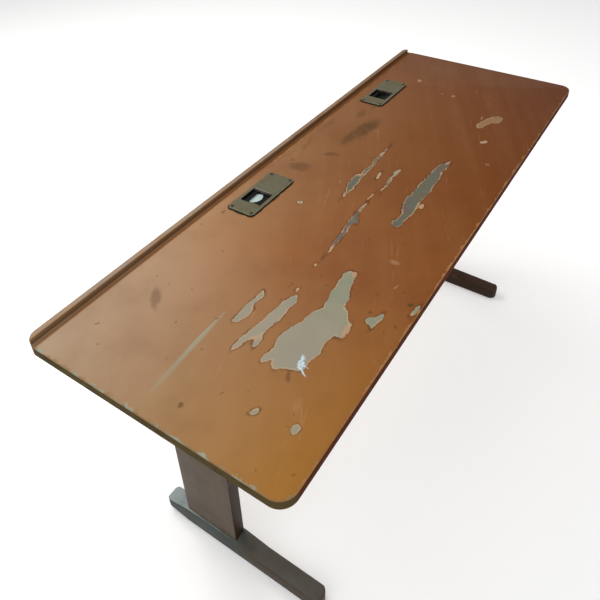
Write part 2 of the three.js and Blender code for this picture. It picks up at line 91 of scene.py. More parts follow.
def ramp(tree, value, low, high, start=0.0, end=1.0):
    made = tree.nodes.new("ShaderNodeMapRange")
    made.interpolation_type = "SMOOTHSTEP"
    for name, given in (("Value", value), ("From Min", low), ("From Max", high), ("To Min", start),
                        ("To Max", end)):
        plug(tree, made.inputs[name], given)
    return made.outputs["Result"]


def straightRamp(tree, value, low, high):
    made = tree.nodes.new("ShaderNodeMapRange")
    for name, given in (("Value", value), ("From Min", low), ("From Max", high)):
        plug(tree, made.inputs[name], given)
    return made.outputs["Result"]


def blendTint(tree, factor, a, b):
    made = tree.nodes.new("ShaderNodeMix")
    made.data_type = "RGBA"
    plug(tree, made.inputs[0], factor)
    plug(tree, made.inputs[6], a)
    plug(tree, made.inputs[7], b)
    return made.outputs[2]


def noise(tree, place, scale, detail=4.0, roughness=0.55):
    made = tree.nodes.new("ShaderNodeTexNoise")
    plug(tree, made.inputs["Vector"], place)
    for name, given in (("Scale", scale), ("Detail", detail), ("Roughness", roughness)):
        plug(tree, made.inputs[name], given)
    return made.outputs["Fac"]


def patches(tree, place, cloud, *limits):  # soft islands; cloud is a noise's scale, detail and roughness
    return ramp(tree, noise(tree, place, *cloud), *limits)


def noiseVector(tree, place, scale):
    made = tree.nodes.new("ShaderNodeTexNoise")
    plug(tree, made.inputs["Vector"], place)
    plug(tree, made.inputs["Scale"], scale)
    return vectors(tree, "SUBTRACT", made.outputs["Color"], (0.5, 0.5, 0.5))


def wobbled(tree, place, scale, reach):
    return vectors(tree, "ADD", place, vectors(tree, "SCALE", noiseVector(tree, place, scale), scale=reach))


def turned(tree, place, turn):
    made = tree.nodes.new("ShaderNodeMapping")
    plug(tree, made.inputs["Vector"], place)
    plug(tree, made.inputs["Rotation"], turn)
    return made.outputs["Vector"]


def spunInPlan(tree, place, angle):
    made = tree.nodes.new("ShaderNodeVectorRotate")
    made.rotation_type = "Z_AXIS"
    plug(tree, made.inputs["Vector"], place)
    plug(tree, made.inputs["Angle"], angle)
    return made.outputs[0]


def newGroup(name, takes, gives):
    group = bpy.data.node_groups.new(name, "ShaderNodeTree")
    kinds = {"f": "NodeSocketFloat", "v": "NodeSocketVector"}
    for label, kind in takes:
        group.interface.new_socket(label, in_out="INPUT", socket_type=kinds[kind])
    for label, kind in gives:
        group.interface.new_socket(label, in_out="OUTPUT", socket_type=kinds[kind])
    return group, group.nodes.new("NodeGroupInput").outputs, group.nodes.new("NodeGroupOutput").inputs


def use(tree, group, **values):
    made = tree.nodes.new("ShaderNodeGroup")
    made.node_tree = group
    for name, value in values.items():
        plug(tree, made.inputs[name], value)
    return made.outputs


# Shared effects: node groups that give only masks, tones, heights and distances.
def makePlanGap():  # distance in from the outline of a rounded rectangle, seen from above
    group, takes, gives = newGroup("planGap",
                                   [("Place", "v"), ("Centre", "v"), ("Half", "v"), ("Radius", "f")],
                                   [("Gap", "f")])
    local = vectors(group, "ABSOLUTE", vectors(group, "SUBTRACT", takes["Place"], takes["Centre"]))
    flat = vectors(group, "MULTIPLY", local, (1, 1, 0))
    corner = vectors(group, "SUBTRACT", takes["Half"],
                     vectors(group, "SCALE", (1, 1, 0), scale=takes["Radius"]))
    over = vectors(group, "SUBTRACT", flat, corner)
    outside = vectors(group, "LENGTH",
                      vectors(group, "MULTIPLY", vectors(group, "MAXIMUM", over, (0, 0, 0)), (1, 1, 0)))
    parts = group.nodes.new("ShaderNodeSeparateXYZ")
    plug(group, parts.inputs[0], over)
    inside = maths(group, "MINIMUM", maths(group, "MAXIMUM", parts.outputs[0], parts.outputs[1]), 0.0)
    distance = maths(group, "SUBTRACT", maths(group, "ADD", outside, inside), takes["Radius"])
    plug(group, gives["Gap"], times(group, distance, -1.0))
    return group


def makeBrushStrokes():  # long soft streaks left by a brush along X, and a fine stipple
    group, takes, gives = newGroup("brushStrokes", [("Place", "v"), ("Turn", "f"), ("Scale", "f")],
                                   [("Height", "f"), ("Tone", "f")])
    spun = spunInPlan(group, takes["Place"], takes["Turn"])
    long = vectors(group, "MULTIPLY", spun, (0.06, 1.0, 1.0))
    streak = noise(group, long, takes["Scale"], 5.0, 0.6)
    stipple = noise(group, takes["Place"], times(group, takes["Scale"], 6.0), 3.0)
    plug(group, gives["Height"], maths(group, "ADD", streak, times(group, stipple, 0.35)))
    plug(group, gives["Tone"], ramp(group, streak, 0.35, 0.68))
    return group


def makeScratches():  # sparse thin scratches in one main direction
    group, takes, gives = newGroup("scratches",
                                   [("Place", "v"), ("Turn", "f"), ("Scale", "f"), ("Share", "f")],
                                   [("Mask", "f")])
    spun = spunInPlan(group, takes["Place"], takes["Turn"])
    stretched = vectors(group, "MULTIPLY", spun, (0.05, 1.0, 0.4))
    cells = group.nodes.new("ShaderNodeTexVoronoi")
    cells.feature = "DISTANCE_TO_EDGE"
    plug(group, cells.inputs["Vector"], stretched)
    plug(group, cells.inputs["Scale"], takes["Scale"])
    line = ramp(group, cells.outputs["Distance"], 0.0, 0.03, 1.0, 0.0)
    where = noise(group, takes["Place"], 23.0, 2.0)
    keep = ramp(group, where, maths(group, "SUBTRACT", 0.8, takes["Share"]), 0.85)
    plug(group, gives["Mask"], times(group, line, keep))
    return group


def makeSpecks():  # small scattered chips or dirt spots
    group, takes, gives = newGroup("specks", [("Place", "v"), ("Scale", "f"), ("Share", "f")],
                                   [("Mask", "f")])
    wobble = vectors(group, "SCALE", noiseVector(group, takes["Place"], 160.0), scale=0.004)
    cells = group.nodes.new("ShaderNodeTexVoronoi")
    plug(group, cells.inputs["Vector"], vectors(group, "ADD", takes["Place"], wobble))
    plug(group, cells.inputs["Scale"], takes["Scale"])
    pick = group.nodes.new("ShaderNodeSeparateColor")
    plug(group, pick.inputs[0], cells.outputs["Color"])
    size = ramp(group, pick.outputs[0], maths(group, "SUBTRACT", 1.0, takes["Share"]), 1.0, 0.0, 0.34)
    plug(group, gives["Mask"],
         ramp(group, maths(group, "SUBTRACT", size, cells.outputs["Distance"]), 0.0, 0.05))
    return group


def makeGrain():  # straight softwood grain along X, with its rings stretched
    group, takes, gives = newGroup("grain", [("Place", "v"), ("Scale", "f")],
                                   [("Tone", "f"), ("Height", "f")])
    drift = vectors(group, "SCALE", noiseVector(group, takes["Place"], 2.2), scale=0.02)
    long = vectors(group, "MULTIPLY", vectors(group, "ADD", takes["Place"], drift), (0.045, 1.0, 1.0))
    rings = group.nodes.new("ShaderNodeTexWave")
    rings.bands_direction = "Y"
    for name, value in (("Vector", long), ("Scale", takes["Scale"]), ("Distortion", 3.0), ("Detail", 3.0)):
        plug(group, rings.inputs[name], value)
    fibre = noise(group, long, times(group, takes["Scale"], 14.0), 3.0)
    plug(group, gives["Tone"], maths(group, "ADD", times(group, rings.outputs["Fac"], 0.6),
                                     times(group, fibre, 0.4)))
    plug(group, gives["Height"], maths(group, "ADD", rings.outputs["Fac"], fibre))
    return group


planGap = makePlanGap()
brushStrokes = makeBrushStrokes()
scratches = makeScratches()
specks = makeSpecks()
grain = makeGrain()


def startMaterial(name):
    material = bpy.data.materials.new(name)
    material.use_nodes = True
    tree = material.node_tree
    shader = next(n for n in tree.nodes if n.type == "BSDF_PRINCIPLED")
    place = tree.nodes.new("ShaderNodeTexCoord").outputs["Object"]
    parts = tree.nodes.new("ShaderNodeSeparateXYZ")
    plug(tree, parts.inputs[0], place)
    return material, tree, shader, place, parts.outputs


def finishMaterial(tree, shader, colour, roughness, height=None, strength=0.3, reach=0.001, metal=None,
                   gloss=0.25):
    plug(tree, shader.inputs["Base Color"], colour)
    plug(tree, shader.inputs["Roughness"], roughness)
    shader.inputs["Specular IOR Level"].default_value = gloss
    if metal is not None:
        plug(tree, shader.inputs["Metallic"], metal)
    if height is not None:
        bump = tree.nodes.new("ShaderNodeBump")
        bump.inputs["Strength"].default_value = strength
        bump.inputs["Distance"].default_value = reach
        plug(tree, bump.inputs["Height"], height)
        plug(tree, shader.inputs["Normal"], bump.outputs[0])


def ellipseGap(tree, place, spot):  # distance out from an ellipse: x, y, half length, half width, turn
    x, y, long, wide, turn = spot
    small = min(long, wide)
    if turn:
        spin = math.radians(turn)
        away = vectors(tree, "SUBTRACT", place, (x, y, 0))
        onLong = vectors(tree, "DOT_PRODUCT", away, (math.cos(spin) / long, math.sin(spin) / long, 0))
        onWide = vectors(tree, "DOT_PRODUCT", away, (-math.sin(spin) / wide, math.cos(spin) / wide, 0))
        square = maths(tree, "MULTIPLY_ADD", onWide, onWide, times(tree, onLong, onLong))
        flat = maths(tree, "SQRT", square)
    else:
        local = vectors(tree, "MULTIPLY", vectors(tree, "SUBTRACT", place, (x, y, 0)),
                        (1 / long, 1 / wide, 0))
        flat = vectors(tree, "LENGTH", local)
    return maths(tree, "MULTIPLY_ADD", flat, small, -small)


def shapeGap(tree, place, spots, melt=0.006):  # one gap round several ellipses that run together
    gap = ellipseGap(tree, place, spots[0])
    for spot in spots[1:]:
        gap = maths(tree, "SMOOTH_MIN", gap, ellipseGap(tree, place, spot), melt)
    return gap


topLook = {
    # paint tones along X for the front, middle and back of the top: the darkening towards the far end is
    # partly faded paint and partly painted light falloff; the pale back tints are painted sheen
    "frontTints": (("926223", 0.015), ("7A4619", 0.285), ("6C3A0D", 0.546), ("592C0D", 0.96)),
    "middleTints": (("94734F", 0.015), ("845229", 0.285), ("744722", 0.546), ("623510", 0.96)),
    "backSheenTints": (("9C8369", 0.015), ("96704C", 0.285), ("7E5735", 0.546), ("6A4020", 0.96)),
    "creamTint": "867F6D", "greyTint": "5B5B4B", "bareTint": "9F7E61", "rimTint": "4D270D",
    "stainTint": "55381C", "frontEdgeTint": "5A2A10", "endEdgeTint": "544628", "undersideTint": "6B4D2C",
    "grooveTint": "754919", "chipTint": "9F7E61",
    "strokeTint": "B69069", "cloudTint": "59270D", "streakTint": "8A8A74", "dirtTint": "3E1C0D",
    "scoreTint": "A8815D", "farCreamTint": "757A65", "chalkTint": "908671", "mottleTint": "8E8879",
    "greyBrownTint": "61534D", "greyGreenTint": "4F5F59", "greyFleckTint": "867155",
    "warmBareTint": "A98869", "dullBareTint": "886747", "lightRimTint": "A59071",
    "paintedGlintTint": "BFD4E2", "sideStainTint": "270D0D", "rawLightTint": "86643E",
    "rawStainTint": "3A240D", "frontRubTint": "9A6C40", "endRubTint": "8A6C46", "paleRubTint": "8C9280",
    "railFootShadeTint": "2C0D0D", "lipTint": "997D55", "plateShadowTint": "1E120A",
    "roughness": 0.42, "cornerRadius": 0.025, "plateRadius": 0.009,
    # older coat laid bare in large flakes: x, y, half length, half width in metres, turn in degrees
    "cream": (
        (-0.430, -0.006, 0.018, 0.008, -10), (-0.408, -0.003, 0.024, 0.005, 0),
        (-0.437, -0.112, 0.050, 0.033, 0), (-0.388, -0.120, 0.052, 0.029, -12),
        (-0.332, -0.114, 0.046, 0.016, 12), (-0.284, -0.104, 0.028, 0.012, 10),
        (-0.377, -0.150, 0.019, 0.010, 8), (-0.478, -0.087, 0.014, 0.007, -10),
        (-0.478, -0.106, 0.016, 0.009, 0), (-0.463, -0.131, 0.016, 0.010, 20),
        (-0.415, -0.049, 0.050, 0.010, -3), (-0.480, -0.036, 0.018, 0.0045, 0),
        (-0.450, -0.041, 0.026, 0.006, -6), (-0.463, -0.056, 0.013, 0.0035, 8),
        (-0.372, -0.052, 0.016, 0.0065, -10), (-0.335, -0.186, 0.018, 0.005, -4),
        (-0.341, -0.179, 0.008, 0.008, 30), (-0.557, -0.185, 0.008, 0.006, 0),
        (-0.563, -0.125, 0.007, 0.0035, -25), (-0.137, 0.081, 0.006, 0.004, -40),
        (-0.285, -0.227, 0.014, 0.0035, -8), (0.051, -0.031, 0.018, 0.0045, -4),
        (-0.383, -0.0045, 0.008, 0.0045, 10), (-0.446, -0.004, 0.007, 0.0045, -20),
    ),
    "grey": (
        (-0.025, 0.027, 0.034, 0.0085, 8), (-0.062, 0.022, 0.018, 0.0028, 6),
        (0.052, 0.026, 0.076, 0.004, 2), (-0.198, -0.038, 0.042, 0.0035, 4),
        (-0.152, -0.033, 0.040, 0.0045, 8), (-0.097, -0.029, 0.026, 0.0028, 2),
        (-0.130, -0.038, 0.012, 0.0045, 20), (0.015, -0.032, 0.030, 0.0026, 5),
        (0.030, -0.102, 0.083, 0.014, 1), (-0.030, -0.097, 0.030, 0.010, 8),
        (-0.068, -0.108, 0.040, 0.0095, -2), (-0.100, -0.105, 0.011, 0.009, 0),
        (0.115, -0.101, 0.032, 0.0085, -8),
    ),
    "bare": (
        (-0.262, -0.107, 0.007, 0.005, 20), (-0.376, -0.157, 0.016, 0.004, 4),
        (-0.343, -0.046, 0.006, 0.0022, -10), (-0.275, -0.040, 0.004, 0.0018, 0),
        (0.024, -0.005, 0.014, 0.0036, 0), (-0.050, -0.026, 0.012, 0.0018, 0),
        (-0.028, -0.121, 0.009, 0.005, -15), (0.265, -0.139, 0.009, 0.0055, -25),
        (-0.225, -0.041, 0.012, 0.0016, 0), (-0.016, -0.034, 0.007, 0.0018, 8),
        (0.142, -0.105, 0.010, 0.0018, -10), (0.334, -0.107, 0.016, 0.0085, 0),
        (0.360, -0.114, 0.026, 0.011, -20), (0.379, -0.127, 0.020, 0.014, -15),
    ),
    "streak": (
        (-0.492, 0.0208, 0.052, 0.0021, 0, 1.0), (-0.520, 0.0180, 0.062, 0.0046, 2, 0.75),
        (-0.572, 0.0150, 0.046, 0.0050, 3, 0.45),
    ),
    # painted glint: a pale blue-white highlight on a flake near the near end
    "paintedGlint": (
        (-0.463, -0.133, 0.010, 0.0042, 12), (-0.471, -0.137, 0.006, 0.0022, 50),
        (-0.455, -0.130, 0.006, 0.0018, 35), (-0.478, -0.147, 0.005, 0.0010, 60),
        (-0.466, -0.142, 0.005, 0.0012, 80),
    ),
    # rubbed soft marks: x, y, half length, half width, turn, strength
    "stains": (
        (0.185, 0.112, 0.058, 0.020, -8, 0.95), (0.130, 0.124, 0.040, 0.012, 2, 0.8),
        (-0.030, 0.152, 0.018, 0.024, 15, 0.7), (0.047, 0.118, 0.010, 0.020, 25, 0.65),
        (0.245, 0.155, 0.024, 0.010, 10, 0.5), (-0.478, 0.134, 0.030, 0.008, 40, 0.5),
        (0.060, 0.190, 0.040, 0.006, 15, 0.3), (0.160, 0.195, 0.040, 0.007, 0, 0.3),
        (-0.278, -0.216, 0.006, 0.005, 0, 1.0), (-0.607, -0.036, 0.004, 0.005, 0, 0.7),
        (-0.240, 0.186, 0.008, 0.004, 0, 0.8), (0.290, 0.143, 0.012, 0.003, 10, 0.8),
        (-0.092, 0.021, 0.010, 0.0014, 0, 0.8), (-0.493, -0.131, 0.010, 0.004, 20, 0.6),
    ),
    # pale soft marks; the two large ones at the near back are painted sheen
    "paleMarkAndSheens": (
        (-0.555, 0.150, 0.070, 0.040, 20, 0.16), (-0.600, 0.060, 0.050, 0.070, 0, 0.14),
        (0.485, 0.113, 0.008, 0.0055, 25, 0.8), (0.444, 0.003, 0.007, 0.005, 0, 0.6),
        (0.443, 0.032, 0.004, 0.004, 0, 0.4), (-0.200, -0.150, 0.006, 0.010, 0, 0.4),
        (-0.598, 0.143, 0.004, 0.0018, 0, 0.7), (0.180, -0.177, 0.004, 0.006, 0, 0.4),
        (-0.036, 0.051, 0.004, 0.0015, 15, 0.7), (0.370, -0.097, 0.010, 0.0025, 10, 0.5),
        (-0.253, -0.178, 0.006, 0.002, -10, 0.5),
    ),
}


def softMarks(tree, place, marks):
    total = None
    for *spot, strength in marks:
        soft = min(spot[2], spot[3])
        mark = ramp(tree, ellipseGap(tree, place, spot), -soft * 0.55, soft * 0.25, strength, 0.0)
        total = mark if total is None else maths(tree, "MAXIMUM", total, mark)
    return total


def fadeRamp(tree, value, stops):
    made = tree.nodes.new("ShaderNodeValToRGB")
    plug(tree, made.inputs[0], value)
    entries = made.color_ramp.elements
    while len(entries) < len(stops):
        entries.new(0.5)
    for entry, (code, at) in zip(entries, stops):
        entry.position = at
        entry.color = tint(code)
    return made.outputs["Color"]


def makeTopPaint(look):
    material, tree, shader, place, axis = startMaterial("topPaint")
    along = straightRamp(tree, axis["X"], boardLow.x, boardHigh.x)
    across = straightRamp(tree, axis["Y"], boardLow.y, boardHigh.y)
    frontHalf = blendTint(tree, straightRamp(tree, across, 0.05, 0.52),
                          fadeRamp(tree, along, look["frontTints"]),
                          fadeRamp(tree, along, look["middleTints"]))
    # painted sheen: towards the back the top blends into the pale back tints
    fadedAndSheen = blendTint(tree, straightRamp(tree, across, 0.52, 0.95), frontHalf,
                      fadeRamp(tree, along, look["backSheenTints"]))
    strokes = use(tree, brushStrokes, Place=place, Turn=math.radians(-28), Scale=26.0)
    cloud = noise(tree, place, 5.5, 5.0, 0.6)
    paint = blendTint(tree, times(tree, strokes["Tone"], 0.04), fadedAndSheen, tint(look["strokeTint"]))
    paint = blendTint(tree, ramp(tree, cloud, 0.42, 0.75, 0.0, 0.3), paint, tint(look["cloudTint"]))
    stain = softMarks(tree, wobbled(tree, place, 45.0, 0.014), look["stains"])
    stain = times(tree, stain, patches(tree, place, (50.0, 4.0), 0.3, 0.55, 0.6, 1.0))
    paint = blendTint(tree, stain, paint, tint(look["stainTint"]))
    # pale marks, and painted sheen in the two large soft patches at the near back
    paleMarkAndSheen = softMarks(tree, wobbled(tree, place, 140.0, 0.003), look["paleMarkAndSheens"])
    paint = blendTint(tree, paleMarkAndSheen, paint, tint(look["chipTint"]))
    streak = softMarks(tree, wobbled(tree, place, 120.0, 0.002), look["streak"])
    paint = blendTint(tree, times(tree, streak, 0.9), paint, tint(look["streakTint"]))
    dirt = use(tree, specks, Place=wobbled(tree, place, 90.0, 0.02), Scale=120.0, Share=0.05)
    paint = blendTint(tree, times(tree, dirt["Mask"], 0.45), paint, tint(look["dirtTint"]))
    scored = use(tree, scratches, Place=place, Turn=math.radians(-24), Scale=34.0, Share=0.3)
    paint = blendTint(tree, times(tree, scored["Mask"], 0.3), paint, tint(look["scoreTint"]))

    ragged = wobbled(tree, place, 55.0, 0.010)
    ragged = vectors(tree, "ADD", ragged,
                     vectors(tree, "SCALE", noiseVector(tree, place, 260.0), scale=0.0035))
    creamGap = shapeGap(tree, ragged, look["cream"])
    greyGap = shapeGap(tree, ragged, look["grey"])
    bareGap = shapeGap(tree, ragged, look["bare"])
    gap = maths(tree, "MINIMUM", maths(tree, "MINIMUM", creamGap, greyGap), bareGap)
    # painted shadow: a dark broken outline on the top coat just outside the flakes' edges
    rimAt = noise(tree, place, 38.0, 3.0)
    rim = times(tree, ramp(tree, gap, 0.0002, 0.0034, 0.8, 0.0), ramp(tree, rimAt, 0.4, 0.62, 0.25, 1.0))
    older = blendTint(tree, ramp(tree, axis["X"], -0.44, -0.30), tint(look["creamTint"]),
                      tint(look["farCreamTint"]))
    older = blendTint(tree, patches(tree, place, (14.0, 5.0), 0.35, 0.7, 0.0, 0.6), older,
                      tint(look["chalkTint"]))
    older = blendTint(tree, times(tree, noise(tree, place, 40.0, 4.0), 0.5), older,
                      tint(look["mottleTint"]))
    worn = blendTint(tree, patches(tree, place, (26.0, 4.0), 0.42, 0.6), tint(look["greyTint"]),
                     tint(look["greyBrownTint"]))
    worn = blendTint(tree, patches(tree, place, (60.0, 5.0, 0.7), 0.48, 0.62, 0.0, 0.7), worn,
                     tint(look["greyGreenTint"]))
    worn = blendTint(tree, patches(tree, place, (110.0, 4.0), 0.6, 0.7, 0.0, 0.6), worn,
                     tint(look["greyFleckTint"]))
    dull = ramp(tree, axis["X"], 0.29, 0.31)
    bare = blendTint(tree, noise(tree, place, 90.0, 3.0), tint(look["bareTint"]),
                     tint(look["warmBareTint"]))
    bare = blendTint(tree, dull, bare, tint(look["dullBareTint"]))
    paint = blendTint(tree, rim, paint, tint(look["rimTint"]))
    paint = blendTint(tree, ramp(tree, creamGap, -0.0002, 0.0004, 1.0, 0.0), paint, older)
    paint = blendTint(tree, ramp(tree, greyGap, -0.0012, 0.0006, 0.9, 0.0), paint, worn)
    paint = blendTint(tree, ramp(tree, bareGap, -0.0006, 0.0004, 0.9, 0.0), paint, bare)
    lightRim = times(tree, ramp(tree, gap, -0.0022, -0.0008), patches(tree, place, (32.0, 3.0), 0.4, 0.54))
    inFlake = ramp(tree, gap, -0.0002, 0.0002, 1.0, 0.0)
    paint = blendTint(tree, times(tree, lightRim, times(tree, inFlake, 0.8)), paint,
                      tint(look["lightRimTint"]))
    # painted glint: a pale blue-white highlight over the flake near the front of the near end
    paintedGlintGap = shapeGap(tree, wobbled(tree, place, 300.0, 0.004), look["paintedGlint"])
    paintedGlint = times(tree, ramp(tree, paintedGlintGap, -0.0012, 0.0006, 0.85, 0.0),
                   patches(tree, place, (420.0, 3.0), 0.36, 0.56))
    paint = blendTint(tree, paintedGlint, paint, tint(look["paintedGlintTint"]))
    # worn ends of the flakes, where the older coat has thinned as well
    thin = times(tree, ramp(tree, gap, -0.003, -0.0002), patches(tree, place, (95.0, 3.0), 0.5, 0.62))
    paint = blendTint(tree, times(tree, thin, times(tree, inFlake, 0.8)), paint, bare)

    # edges: side faces darkened, partly the edges' worn colour and partly painted shade, a rubbed line
    # along the arris, a darker band in the groove and painted shade at the rail's foot
    half = (boardHigh.x, (railHigh.y - boardLow.y) / 2, 0)
    centre = (0, (railHigh.y + boardLow.y) / 2, 0)
    outline = use(tree, planGap, Place=place, Centre=centre, Half=half, Radius=look["cornerRadius"])["Gap"]
    fromTop = maths(tree, "SUBTRACT", surfaceZ, axis["Z"])
    nearEnd = ramp(tree, axis["X"], -0.635, -0.615, 1.0, 0.0)
    sideTint = blendTint(tree, nearEnd, tint(look["frontEdgeTint"]), tint(look["endEdgeTint"]))
    sideTint = blendTint(tree, patches(tree, place, (18.0, 5.0, 0.7), 0.45, 0.7, 0.0, 0.5), sideTint,
                         tint(look["sideStainTint"]))
    underside = times(tree, ramp(tree, fromTop, 0.0185, 0.0198), ramp(tree, outline, 0.003, 0.005))
    boards = use(tree, grain, Place=place, Scale=9.0)
    raw = blendTint(tree, boards["Tone"], tint(look["undersideTint"]), tint(look["rawLightTint"]))
    raw = blendTint(tree, patches(tree, place, (7.0, 5.0), 0.4, 0.7, 0.0, 0.6), raw,
                    tint(look["rawStainTint"]))
    # painted shade, in part: the board's side faces take the darker side tints
    side = ramp(tree, fromTop, 0.0012, 0.0026)
    paint = blendTint(tree, side, paint, blendTint(tree, underside, sideTint, raw))
    chips = noise(tree, place, 62.0, 6.0, 0.75)
    rubWidth = maths(tree, "ADD", ramp(tree, chips, 0.42, 0.68, 0.001, 0.005),
                     times(tree, nearEnd, ramp(tree, chips, 0.42, 0.68, 0.0, 0.0025)))
    rub = ramp(tree, maths(tree, "SUBTRACT", outline, rubWidth), -0.0006, 0.0004, 1.0, 0.0)
    rub = times(tree, rub, ramp(tree, fromTop, 0.0012, 0.0028, 1.0, 0.0))
    rub = times(tree, rub, ramp(tree, axis["X"], -0.1, 0.5, 0.95, 0.45))
    backAway = ramp(tree, axis["Y"], boardHigh.y - 0.012, boardHigh.y - 0.006, 1.0, 0.0)
    rub = times(tree, rub, backAway)
    rubTint = blendTint(tree, nearEnd, tint(look["frontRubTint"]),
                        blendTint(tree, patches(tree, place, (30.0, 3.0), 0.45, 0.6),
                                  tint(look["endRubTint"]), tint(look["paleRubTint"])))
    paint = blendTint(tree, rub, paint, rubTint)
    sideChips = times(tree, side, patches(tree, place, (44.0, 6.0, 0.7), 0.62, 0.66, 0.0, 0.35))
    paint = blendTint(tree, sideChips, paint, rubTint)
    groove = ramp(tree, axis["Y"], boardHigh.y - 0.0135, boardHigh.y - 0.0105)
    groove = times(tree, groove, ramp(tree, fromTop, 0.003, 0.004, 1.0, 0.0))
    paint = blendTint(tree, times(tree, groove, 0.4), paint, tint(look["grooveTint"]))
    # painted shade: a dark line at the foot of the rail, in the groove
    foot = ramp(tree, axis["Y"], boardHigh.y - 0.0035, boardHigh.y - 0.0005)
    paint = blendTint(tree, times(tree, times(tree, foot, groove), 0.55), paint, tint(look["railFootShadeTint"]))
    lipAt = maths(tree, "ABSOLUTE", maths(tree, "SUBTRACT", axis["Y"], boardHigh.y - 0.0125))
    lip = times(tree, ramp(tree, lipAt, 0.0004, 0.0016, 1.0, 0.0),
                patches(tree, place, (36.0, 5.0, 0.7), 0.5, 0.6))
    paint = blendTint(tree, times(tree, lip, 0.7), paint, tint(look["lipTint"]))

    # painted shadow: a dark line on the top round the front and left sides of each plate
    for end in sides:
        lowEnd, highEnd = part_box("inkwell_plate_" + end)
        middle = (lowEnd + highEnd) / 2
        ring = use(tree, planGap, Place=place, Centre=tuple(middle), Half=tuple((highEnd - lowEnd) / 2),
                   Radius=look["plateRadius"])["Gap"]
        frontLeft = ramp(tree, maths(tree, "ADD", axis["X"], times(tree, axis["Y"], 2.0)),
                         middle.x + 2 * middle.y - 0.02, middle.x + 2 * middle.y + 0.06, 1.0, 0.25)
        reach = patches(tree, place, (90.0, 4.0), 0.3, 0.7, -0.0045, -0.0018)
        line = times(tree, ramp(tree, maths(tree, "SUBTRACT", ring, reach), -0.0006, 0.0006), frontLeft)
        paint = blendTint(tree, times(tree, line, 0.85), paint, tint(look["plateShadowTint"]))

    roughness = maths(tree, "ADD", look["roughness"], times(tree, inFlake, 0.2))
    roughness = maths(tree, "ADD", roughness, times(tree, maths(tree, "SUBTRACT", cloud, 0.5), 0.25))
    roughness = maths(tree, "MAXIMUM", roughness, side)
    level = times(tree, inFlake, -1.1)
    height = maths(tree, "ADD", times(tree, strokes["Height"], 0.22), level)
    height = maths(tree, "SUBTRACT", height, times(tree, scored["Mask"], 0.3))
    height = maths(tree, "SUBTRACT", height, times(tree, rub, 0.5))
    finishMaterial(tree, shader, paint, roughness, height, 0.5, 0.0006, gloss=0.12)
    return material


railLook = {"nearTint": "97754F", "farTint": "5D350E", "middleTint": "7E5731", "crownSheenTint": "867567",
            "dirtTint": "51290D", "lowTint": "74502B", "chipTint": "AA906F"}


def makeRailPaint(look):
    material, tree, shader, place, axis = startMaterial("railPaint")
    along = straightRamp(tree, axis["X"], railLow.x, railHigh.x)
    base = fadeRamp(tree, along,
                    ((look["nearTint"], 0.0), (look["middleTint"], 0.4), (look["farTint"], 1.0)))
    strokes = use(tree, brushStrokes, Place=place, Turn=0.0, Scale=60.0)
    base = blendTint(tree, times(tree, strokes["Tone"], 0.25), base, tint(look["chipTint"]))
    fromTop = maths(tree, "SUBTRACT", railHigh.z, axis["Z"])
    # painted sheen: the rail's top is made paler, fading towards the far end
    crown = ramp(tree, fromTop, 0.0008, 0.0024, 1.0, 0.0)
    patchy = patches(tree, place, (30.0, 6.0, 0.7), 0.38, 0.6, 0.35, 1.0)
    fadeOff = ramp(tree, axis["X"], -0.2, 0.6, 0.8, 0.25)
    base = blendTint(tree, times(tree, times(tree, crown, patchy), fadeOff), base, tint(look["crownSheenTint"]))
    low = ramp(tree, fromTop, railHigh.z - surfaceZ - 0.003, railHigh.z - surfaceZ + 0.0005)
    lowTint = blendTint(tree, along, tint(look["lowTint"]), tint(look["dirtTint"]))
    base = blendTint(tree, times(tree, low, 0.75), base, lowTint)
    nicks = patches(tree, place, (48.0, 6.0, 0.72), 0.63, 0.67)
    edge = ramp(tree, fromTop, 0.001, 0.004, 1.0, 0.15)
    nicks = times(tree, nicks, edge)
    base = blendTint(tree, times(tree, nicks, 0.7), base, tint(look["chipTint"]))
    grime = patches(tree, place, (12.0, 5.0, 0.65), 0.52, 0.75, 0.0, 0.5)
    base = blendTint(tree, grime, base, tint(look["dirtTint"]))
    roughness = patches(tree, place, (25.0, 4.0), 0.3, 0.7, 0.4, 0.62)
    height = maths(tree, "SUBTRACT", times(tree, strokes["Height"], 0.4), nicks)
    finishMaterial(tree, shader, base, roughness, height, 0.5, 0.0006, gloss=0.15)
    return material


legLooks = {
    "column": {"tint": "5A4C3C", "deepTint": "47392C", "frontTint": "2C1A10",
               "dustTint": "7C766A", "wornTint": "77654E", "grainAlong": "z"},
    "nearFoot": {"tint": "4A504C", "deepTint": "3A3F39", "frontTint": "4C3E30",
                 "dustTint": "98A4A2", "wornTint": "5E6455", "grainAlong": "y"},
    "farFoot": {"tint": "5A4132", "deepTint": "38251A", "frontTint": "2C1A10",
                "dustTint": "6A4E3A", "wornTint": "6A5038", "grainAlong": "y"},
}


